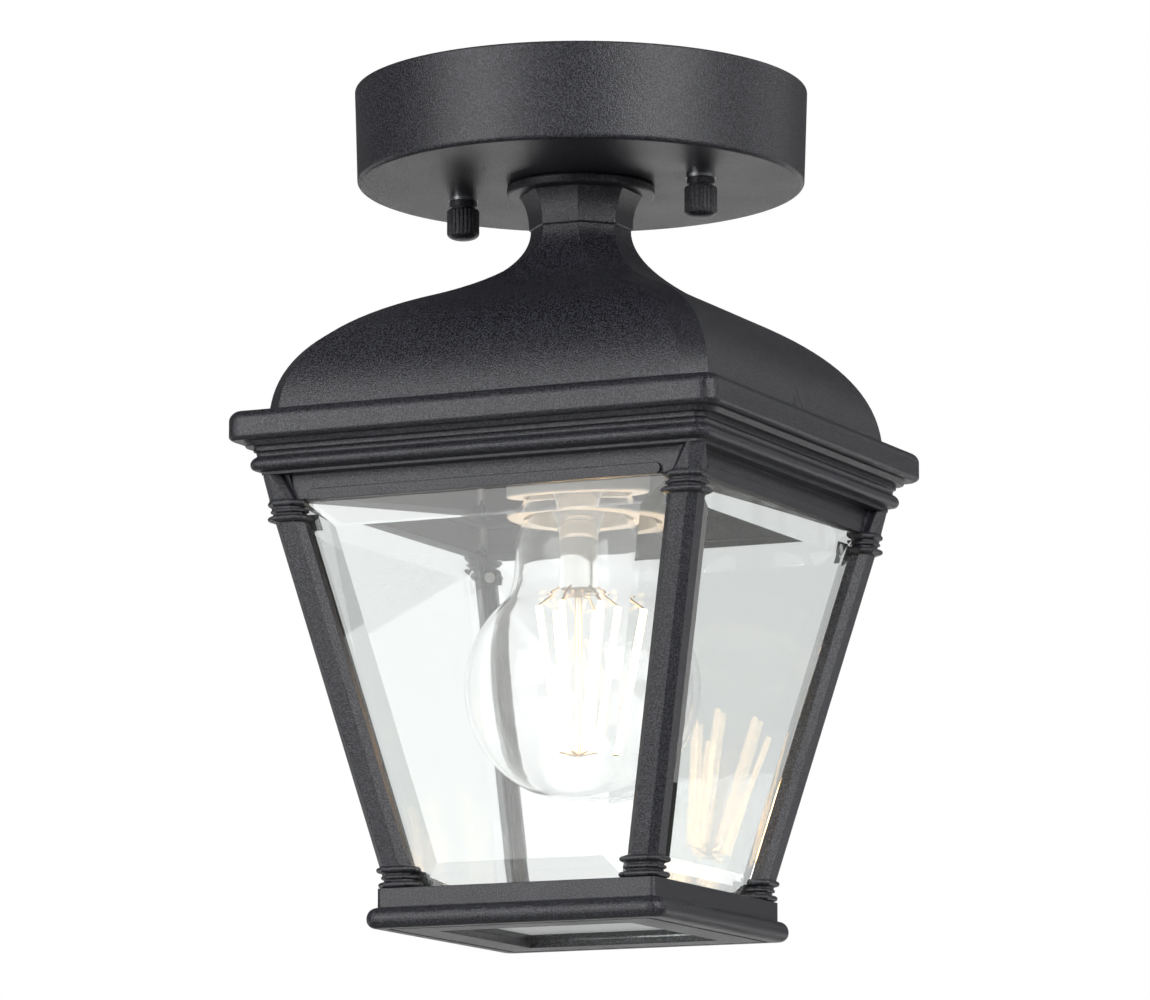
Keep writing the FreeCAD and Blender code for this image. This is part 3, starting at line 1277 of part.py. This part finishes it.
# ---- all the pieces ----
def pieces():
    front_right = post()
    front_pane = pane()
    lead = live_lead()
    parts = {
        "crossbar": crossbar(), "ground_screw": ground_screw(), "canopy_studs": canopy_studs(),
        "stud_lock_nuts": stud_lock_nuts(), "canopy": canopy(), "cap_washers": cap_washers(),
        "cap_nut_left": cap_nut(-1), "cap_nut_right": cap_nut(1), "nipple": nipple(),
        "nipple_lock_washer": nipple_lock_washer(), "earth_ring": earth_ring(),
        "canopy_nut": canopy_nut(), "neck_collar": neck_collar(), "roof_washer": roof_washer(),
        "roof_nut": roof_nut(), "roof": roof(), "roof_screws": roof_screws(),
        "top_frame": top_frame(), "post_top_screws": post_top_screws(),
        "post_bottom_screws": post_bottom_screws(), "base_frame": base_frame(),
        "bottom_glass": bottom_glass(), "bottom_frame": bottom_frame(), "door_pins": door_pins(),
        "bottom_glass_clips": bottom_glass_clips(), "catch_magnet": catch_magnet(),
        "glass_clips_top": glass_clips(z_clip_top), "glass_clips_bottom": glass_clips(z_clip_bottom),
        "clip_screws": clip_screws(), "socket_plate": socket_plate(),
        "socket_plate_screws": socket_plate_screws(), "lampholder": lampholder(),
        "lampholder_screws": lampholder_screws(), "lampholder_shell": lampholder_shell(),
        "lampholder_tongue": lampholder_tongue(), "terminal_screws": terminal_screws(),
        "bulb_glass": bulb_glass(), "bulb_cap": bulb_cap(), "bulb_insulator": bulb_insulator(),
        "bulb_contact": bulb_contact(), "bulb_stem": bulb_stem(), "bulb_filaments": bulb_filaments(),
        "bulb_support_wires": bulb_support_wires(), "lead_live": lead,
        "lead_neutral": turn_quarter(lead, 2), "earth_lead": earth_lead(),
        "wire_connectors": wire_connectors(),
    }
    for k, name in enumerate(("front_right", "back_right", "back_left", "front_left")):
        parts["post_" + name] = turn_quarter(front_right, k)
    for k, name in enumerate(("front", "right", "back", "left")):
        parts["glass_" + name] = turn_quarter(front_pane, k)
    return parts


os.makedirs("parts", exist_ok=True)
for name, shape in pieces().items():
    print(name, "solids", len(shape.Solids), "volume %.1f" % shape.Volume, "valid", shape.isValid())
    shape.exportStep("parts/" + name + ".step")
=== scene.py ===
"""A black porch ceiling lantern with bevelled panes and a lit filament lamp, seen from below."""
import json
import math

import bpy
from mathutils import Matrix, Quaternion, Vector


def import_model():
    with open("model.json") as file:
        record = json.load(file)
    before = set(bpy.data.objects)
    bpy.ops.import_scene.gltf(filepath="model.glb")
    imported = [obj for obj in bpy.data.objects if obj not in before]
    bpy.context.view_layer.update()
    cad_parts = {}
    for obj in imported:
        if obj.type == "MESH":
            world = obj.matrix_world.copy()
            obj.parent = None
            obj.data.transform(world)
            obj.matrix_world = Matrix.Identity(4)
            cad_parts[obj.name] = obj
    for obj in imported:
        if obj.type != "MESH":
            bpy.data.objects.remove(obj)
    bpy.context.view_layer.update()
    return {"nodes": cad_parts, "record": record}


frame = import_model()
nodes = frame["nodes"]

# ---- camera: the photograph's own view ----
PHOTO_WIDTH = 1150
FOCAL_PX = 6057.0
AXIS_X_PX = 580.5
CAMERA_AZIMUTH = 25.3
CAMERA_ELEVATION = -9.34
CAMERA_DISTANCE = 1.601
CAMERA_TARGET = Vector((0.0, 0.0, -0.11004))
CAMERA_ROLL = 0.08
SENSOR_MM = 36.0

# ---- stage and light levels ----
FLOOR_Z = -1.8
FLOOR_HALF = 6.0
FLOOR_COLOUR = (0.82, 0.82, 0.81)
FLOOR_ROUGHNESS = 0.9
FLOOR_LIFT = 0.8
UPPER_LIGHT = 0.04
LOWER_LIGHT = 0.2
FRONT_REFLECTION = 0.15
REAR_REFLECTION = 2.6
UPPER_REFLECTION = 0.12
HORIZON_LOW = -0.15
HORIZON_HIGH = -0.08
SIDE_BLEND = 0.3
# place, size and power of each soft light
AREA_LIGHTS = {
    "key": ((-0.95, -1.95, 0.4), 1.3, 28.0),
    "fill": ((1.9, -0.9, 0.55), 1.2, 36.0),
    "rim": ((1.7, 1.8, 0.9), 1.2, 8.0),
    "low": ((-0.95, -1.74, -0.54), 0.85, 7.5),
}
LAMP_MIDDLE = (0.0, 0.0, -0.158)
LAMP_GLOW_POWER = 0.2
LAMP_GLOW_COLOUR = (1.0, 0.72, 0.45)
LAMP_GLOW_RADIUS = 0.012

# ---- finishes ----
MOTTLE_DARK_AT = 0.3
MOTTLE_PALE_AT = 0.7
POWDER_GRAIN = 0.0004
POWDER_RELIEF = 0.0002
POWDER_ROUGHNESS = 0.38
POWDER_SMOOTHER = 0.05
POWDER_ROUGHER = 0.06
POWDER_EDGE = 0.0004
POWDER_BUMP = 0.7
POWDER_UNEVENNESS = 1.0 / 60.0
POWDER_DARK_AT = 0.42
POWDER_PALE_AT = 0.62
POWDER_DARK = (0.0015, 0.0015, 0.002)
POWDER_PALE = (0.055, 0.056, 0.07)
PAINT_MOTTLE = 1.0 / 450.0
PAINT_RELIEF = 0.0001
PAINT_BUMP = 0.15
PAINT_SHADE = 0.82
METAL_GRAIN = 1.0 / 300.0
METAL_STREAK = 14.0
METAL_SHADE = 0.8
METAL_SMOOTHER = 0.08
METAL_ROUGHER = 0.1
PANE_IOR = 1.5
LAMP_IOR = 1.3
SHADOW_CLEARNESS = (0.95, 0.96, 0.955)
# colour of the painted haze, a glow put on glass faces in place of scattered lamp light
PAINTED_HAZE_COLOUR = (1.0, 0.97, 0.92)
# painted glow of the lamp's glass stem: its share, warm and pale tones, and streaks
STEM_PAINTED_GLOW = 0.1
STEM_ROUGHNESS = 0.08
STEM_PAINTED_WARM = (1.0, 0.86, 0.66)
STEM_PAINTED_PALE = (1.0, 0.97, 0.9)
STEM_WARM_AT = 0.35
STEM_PALE_AT = 0.65
STEM_PAINTED_STREAKS = 1.0 / 260.0
FILAMENT_STRENGTH = 10.0
FILAMENT_GRAIN = 1.0 / 700.0
FILAMENT_ROUGHNESS = 0.6
FILAMENT_DEEP = (1.0, 0.62, 0.28)
FILAMENT_PALE = (1.0, 0.74, 0.4)


# ---- node helpers ----
def new_material(name):
    mat = bpy.data.materials.new(name)
    mat.use_nodes = True
    tree = mat.node_tree
    tree.nodes.clear()
    out = tree.nodes.new("ShaderNodeOutputMaterial")
    return mat, tree, out


def put(tree, value, socket):
    """Gives a socket a number, or links it to the output it follows."""
    if isinstance(value, float):
        socket.default_value = value
    else:
        tree.links.new(value, socket)


def between(tree, value, start, end, low, high):
    """Runs evenly from low to high while the value goes from start to end."""
    made = tree.nodes.new("ShaderNodeMapRange")
    made.inputs["From Min"].default_value = start
    made.inputs["From Max"].default_value = end
    put(tree, low, made.inputs["To Min"])
    put(tree, high, made.inputs["To Max"])
    tree.links.new(value, made.inputs["Value"])
    return made.outputs["Result"]


def mixed(tree, share, first, second):
    """First shader where the share is 0, second where it is 1."""
    mix = tree.nodes.new("ShaderNodeMixShader")
    put(tree, share, mix.inputs[0])
    tree.links.new(first.outputs[0], mix.inputs[1])
    tree.links.new(second.outputs[0], mix.inputs[2])
    return mix


def noise(tree, grain, detail=2.0, rough=0.5, stretch=None):
    """Noise with grains of a size in metres, drawn out along each axis by a stretch."""
    coords = tree.nodes.new("ShaderNodeTexCoord")
    place = coords.outputs["Object"]
    if stretch:
        mapping = tree.nodes.new("ShaderNodeMapping")
        mapping.inputs["Scale"].default_value = stretch
        tree.links.new(place, mapping.inputs["Vector"])
        place = mapping.outputs["Vector"]
    tex = tree.nodes.new("ShaderNodeTexNoise")
    tex.inputs["Scale"].default_value = 1.0 / grain
    tex.inputs["Detail"].default_value = detail
    tex.inputs["Roughness"].default_value = rough
    tree.links.new(place, tex.inputs["Vector"])
    return tex.outputs["Fac"]


def ramp(tree, source, stops):
    """Colours at places from 0 to 1, and even blends between them."""
    made = tree.nodes.new("ShaderNodeValToRGB")
    elements = made.color_ramp.elements
    while len(elements) < len(stops):
        elements.new(0.5)
    for element, (place, colour) in zip(elements, stops):
        element.position = place
        element.color = (*colour, 1.0)
    tree.links.new(source, made.inputs["Fac"])
    return made.outputs["Color"]


def bump(tree, height, strength, distance):
    made = tree.nodes.new("ShaderNodeBump")
    made.inputs["Strength"].default_value = strength
    made.inputs["Distance"].default_value = distance
    tree.links.new(height, made.inputs["Height"])
    return made


def principled(name, roughness, metallic=0.0, specular=0.5):
    mat, tree, out = new_material(name)
    shader = tree.nodes.new("ShaderNodeBsdfPrincipled")
    shader.inputs["Roughness"].default_value = roughness
    shader.inputs["Metallic"].default_value = metallic
    shader.inputs["Specular IOR Level"].default_value = specular
    tree.links.new(shader.outputs["BSDF"], out.inputs["Surface"])
    return mat, tree, shader


def powder_black():
    """Black powder coat: a fine sandy grain over faint broad unevenness, rounded at the edges."""
    mat, tree, shader = principled("powder_black", POWDER_ROUGHNESS)
    grain = noise(tree, POWDER_GRAIN, rough=0.6)
    broad = noise(tree, POWDER_UNEVENNESS)
    tone = ramp(tree, grain, [(POWDER_DARK_AT, POWDER_DARK), (POWDER_PALE_AT, POWDER_PALE)])
    tree.links.new(tone, shader.inputs["Base Color"])
    gloss = between(tree, broad, 0.0, 1.0, POWDER_ROUGHNESS - POWDER_SMOOTHER,
                    POWDER_ROUGHNESS + POWDER_ROUGHER)
    tree.links.new(gloss, shader.inputs["Roughness"])
    edge = tree.nodes.new("ShaderNodeBevel")
    edge.inputs["Radius"].default_value = POWDER_EDGE
    relief = bump(tree, grain, POWDER_BUMP, POWDER_RELIEF)
    tree.links.new(edge.outputs["Normal"], relief.inputs["Normal"])
    tree.links.new(relief.outputs["Normal"], shader.inputs["Normal"])
    return mat


def painted(name, colour, roughness, specular=0.5):
    """Smooth paint or moulded plastic with slight mottling."""
    mat, tree, shader = principled(name, roughness, specular=specular)
    mottle = noise(tree, PAINT_MOTTLE, detail=3.0)
    dark = tuple(PAINT_SHADE * c for c in colour)
    tone = ramp(tree, mottle, [(MOTTLE_DARK_AT, dark), (MOTTLE_PALE_AT, colour)])
    tree.links.new(tone, shader.inputs["Base Color"])
    relief = bump(tree, mottle, PAINT_BUMP, PAINT_RELIEF)
    tree.links.new(relief.outputs["Normal"], shader.inputs["Normal"])
    return mat


def metal(name, colour, roughness, streak=METAL_STREAK):
    """Plated or pressed metal, its roughness drawn out in fine streaks."""
    mat, tree, shader = principled(name, roughness, metallic=1.0)
    grain = noise(tree, METAL_GRAIN, detail=3.0, stretch=(1.0, 1.0, streak))
    dark = tuple(METAL_SHADE * c for c in colour)
    tone = ramp(tree, grain, [(MOTTLE_DARK_AT, dark), (MOTTLE_PALE_AT, colour)])
    tree.links.new(tone, shader.inputs["Base Color"])
    gloss = between(tree, grain, 0.0, 1.0, roughness - METAL_SMOOTHER, roughness + METAL_ROUGHER)
    tree.links.new(gloss, shader.inputs["Roughness"])
    return mat


def glass(name, colour, density, ior, painted_haze, clearness):
    """Clear glass whose tint shows on long ways through it. Light passes it without a dark
    shadow, and each face adds a faint painted haze: an emission that stands in for scattered lamp
    light."""
    mat, tree, out = new_material(name)
    body = tree.nodes.new("ShaderNodeBsdfGlass")
    body.inputs["IOR"].default_value = ior
    body.inputs["Color"].default_value = (clearness, clearness, clearness, 1.0)
    body.inputs["Roughness"].default_value = 0.0
    clear = tree.nodes.new("ShaderNodeBsdfTransparent")
    clear.inputs["Color"].default_value = (*SHADOW_CLEARNESS, 1.0)
    path = tree.nodes.new("ShaderNodeLightPath")
    # painted haze: a faint glow on each glass face that stands in for scattered lamp light
    painted_veil = tree.nodes.new("ShaderNodeEmission")
    painted_veil.inputs["Color"].default_value = (*PAINTED_HAZE_COLOUR, 1.0)
    lit = mixed(tree, painted_haze, body, painted_veil)
    mix = mixed(tree, path.outputs["Is Shadow Ray"], lit, clear)
    tree.links.new(mix.outputs[0], out.inputs["Surface"])
    tint = tree.nodes.new("ShaderNodeVolumeAbsorption")
    tint.inputs["Color"].default_value = (*colour, 1.0)
    tint.inputs["Density"].default_value = density
    tree.links.new(tint.outputs["Volume"], out.inputs["Volume"])
    return mat


def stem_painted_glow():
    """Glass stem in the middle of the lamp, with a painted glow that stands in for the light of
    the filaments round it.
    """
    mat, tree, out = new_material("stem_painted_glow")
    body = tree.nodes.new("ShaderNodeBsdfGlass")
    body.inputs["IOR"].default_value = LAMP_IOR
    body.inputs["Roughness"].default_value = STEM_ROUGHNESS
    # painted glow: the stem is no lamp, yet it shines in streaked warm and pale tones
    glow = tree.nodes.new("ShaderNodeEmission")
    streaks = noise(tree, STEM_PAINTED_STREAKS, detail=3.0)
    tone = ramp(tree, streaks, [(STEM_WARM_AT, STEM_PAINTED_WARM), (STEM_PALE_AT, STEM_PAINTED_PALE)])
    tree.links.new(tone, glow.inputs["Color"])
    mix = mixed(tree, STEM_PAINTED_GLOW, body, glow)
    tree.links.new(mix.outputs[0], out.inputs["Surface"])
    return mat


def filament():
    """Lit filament sticks: a warm glow with a slightly uneven coating."""
    mat, tree, shader = principled("filament", FILAMENT_ROUGHNESS)
    coating = noise(tree, FILAMENT_GRAIN)
    tone = ramp(tree, coating, [(MOTTLE_DARK_AT, FILAMENT_DEEP), (MOTTLE_PALE_AT, FILAMENT_PALE)])
    tree.links.new(tone, shader.inputs["Base Color"])
    tree.links.new(tone, shader.inputs["Emission Color"])
    shader.inputs["Emission Strength"].default_value = FILAMENT_STRENGTH
    return mat


def finishes():
    """One material for each slot in the record."""
    return {
        "powder_black": powder_black(),
        "clear_pane": glass("clear_pane", (0.66, 0.95, 0.84), density=22.0, ior=PANE_IOR,
                            painted_haze=0.005, clearness=0.945),
        "lamp_glass": glass("lamp_glass", (0.9, 0.93, 0.9), density=8.0, ior=LAMP_IOR,
                            painted_haze=0.02, clearness=0.99),
        "zinc_steel": metal("zinc_steel", (0.62, 0.63, 0.65), 0.32),
        "green_screw": metal("green_screw", (0.08, 0.4, 0.16), 0.35),
        "plate_grey": painted("plate_grey", (0.015, 0.015, 0.016), 0.7, specular=0.1),
        "bright_clip": metal("bright_clip", (0.08, 0.083, 0.086), 0.45),
        "magnet": metal("magnet", (0.55, 0.55, 0.56), 0.25),
        "contact_brass": metal("contact_brass", (0.78, 0.6, 0.3), 0.3),
        "holder_moulding": painted("holder_moulding", (0.45, 0.43, 0.4), 0.35),
        "lamp_cap": metal("lamp_cap", (0.76, 0.75, 0.72), 0.25, streak=1.0),
        "lamp_insulator": painted("lamp_insulator", (0.04, 0.04, 0.05), 0.15),
        "filament": filament(),
        "support_wire": metal("support_wire", (0.66, 0.55, 0.45), 0.3, streak=1.0),
        "lead_black": painted("lead_black", (0.03, 0.03, 0.03), 0.45),
        "lead_white": painted("lead_white", (0.82, 0.82, 0.8), 0.45),
        "lead_green": painted("lead_green", (0.06, 0.4, 0.14), 0.45),
        "connector": painted("connector", (0.85, 0.33, 0.07), 0.4),
    }


def dress():
    """Gives each piece the material of its slot, and the lamp's stem its own, with a painted
    glow.
    """
    looks = finishes()
    for part in frame["record"]["subparts"]:
        obj = nodes[part["node"]]
        obj.data.materials.clear()
        obj.data.materials.append(looks[part["material_slot"]])
    nodes["bulb_stem"].data.materials[0] = stem_painted_glow()


def camera():
    az, el = math.radians(CAMERA_AZIMUTH), math.radians(CAMERA_ELEVATION)
    away = Vector((math.sin(az) * math.cos(el), -math.cos(az) * math.cos(el), math.sin(el)))
    place = CAMERA_TARGET + CAMERA_DISTANCE * away
    data = bpy.data.cameras.new("camera")
    data.sensor_width = SENSOR_MM
    data.lens = SENSOR_MM * FOCAL_PX / PHOTO_WIDTH
    data.shift_x = (PHOTO_WIDTH / 2.0 - AXIS_X_PX) / PHOTO_WIDTH
    obj = bpy.data.objects.new("camera", data)
    bpy.context.collection.objects.link(obj)
    obj.location = place
    turn = (CAMERA_TARGET - place).to_track_quat("-Z", "Y")
    obj.rotation_euler = (turn @ Quaternion((0, 0, 1), math.radians(CAMERA_ROLL))).to_euler()
    bpy.context.scene.camera = obj


def area_light(name, place, size, power):
    """White square light aimed at the middle of the lantern."""
    data = bpy.data.lights.new(name, "AREA")
    data.shape = "SQUARE"
    data.size = size
    data.energy = power
    obj = bpy.data.objects.new(name, data)
    bpy.context.collection.objects.link(obj)
    obj.location = place
    obj.rotation_euler = (CAMERA_TARGET - Vector(place)).to_track_quat("-Z", "Y").to_euler()


def white_background(tree):
    made = tree.nodes.new("ShaderNodeBackground")
    made.inputs["Color"].default_value = (1.0, 1.0, 1.0, 1.0)
    made.inputs["Strength"].default_value = 1.0
    return made


def sky(tree, axes, upper, front, rear):
    """Light from all round. Below the horizon it goes from one strength in front to another
    behind, and above the horizon it has a third."""
    made = white_background(tree)
    lower = between(tree, axes.outputs["Y"], -SIDE_BLEND, SIDE_BLEND, front, rear)
    strength = between(tree, axes.outputs["Z"], HORIZON_LOW, HORIZON_HIGH, lower, upper)
    tree.links.new(strength, made.inputs["Strength"])
    return made


def seen_directly(tree):
    """1 for what the camera sees itself or through glass, else 0."""
    path = tree.nodes.new("ShaderNodeLightPath")
    seen = tree.nodes.new("ShaderNodeMath")
    seen.operation = "MAXIMUM"
    tree.links.new(path.outputs["Is Camera Ray"], seen.inputs[0])
    tree.links.new(path.outputs["Is Transmission Ray"], seen.inputs[1])
    return seen.outputs[0]


def world():
    """White to the camera and through glass. As light it is a little brighter below the horizon
    than above it. In reflections it is bright low down behind the lantern and dim elsewhere."""
    made = bpy.data.worlds.new("world")
    bpy.context.scene.world = made
    made.use_nodes = True
    tree = made.node_tree
    tree.nodes.clear()
    out = tree.nodes.new("ShaderNodeOutputWorld")
    coords = tree.nodes.new("ShaderNodeTexCoord")
    axes = tree.nodes.new("ShaderNodeSeparateXYZ")
    tree.links.new(coords.outputs["Generated"], axes.inputs[0])
    white = white_background(tree)
    light = sky(tree, axes, UPPER_LIGHT, LOWER_LIGHT, LOWER_LIGHT)
    mirrored = sky(tree, axes, UPPER_REFLECTION, FRONT_REFLECTION, REAR_REFLECTION)
    path = tree.nodes.new("ShaderNodeLightPath")
    unseen = mixed(tree, path.outputs["Is Glossy Ray"], light, mirrored)
    mix = mixed(tree, seen_directly(tree), unseen, white)
    tree.links.new(mix.outputs[0], out.inputs["Surface"])


def pale_floor():
    """Matt pale floor. A glow lifts it only where the camera sees it, itself or through glass."""
    mat, tree, shader = principled("floor", FLOOR_ROUGHNESS)
    shader.inputs["Base Color"].default_value = (*FLOOR_COLOUR, 1.0)
    shader.inputs["Emission Color"].default_value = (1.0, 1.0, 1.0, 1.0)
    lift = tree.nodes.new("ShaderNodeMath")
    lift.operation = "MULTIPLY"
    lift.inputs[1].default_value = FLOOR_LIFT
    tree.links.new(seen_directly(tree), lift.inputs[0])
    tree.links.new(lift.outputs[0], shader.inputs["Emission Strength"])
    return mat


def floor():
    mesh = bpy.data.meshes.new("floor")
    signs = ((-1, -1), (1, -1), (1, 1), (-1, 1))
    corners = [(x * FLOOR_HALF, y * FLOOR_HALF, FLOOR_Z) for x, y in signs]
    mesh.from_pydata(corners, [], [(0, 1, 2, 3)])
    obj = bpy.data.objects.new("floor", mesh)
    bpy.context.collection.objects.link(obj)
    mesh.materials.append(pale_floor())


def lamp_glow():
    """Warm light from the middle of the lamp, hidden from mirrors and glass."""
    data = bpy.data.lights.new("lamp_glow", "POINT")
    data.energy = LAMP_GLOW_POWER
    data.color = LAMP_GLOW_COLOUR
    data.shadow_soft_size = LAMP_GLOW_RADIUS
    obj = bpy.data.objects.new("lamp_glow", data)
    obj.location = LAMP_MIDDLE
    obj.visible_glossy = False
    obj.visible_transmission = False
    bpy.context.collection.objects.link(obj)


dress()
camera()
world()
floor()
for light_name, (light_place, light_size, light_power) in AREA_LIGHTS.items():
    area_light(light_name, light_place, light_size, light_power)
lamp_glow()
bpy.context.scene.view_settings.view_transform = "Standard"
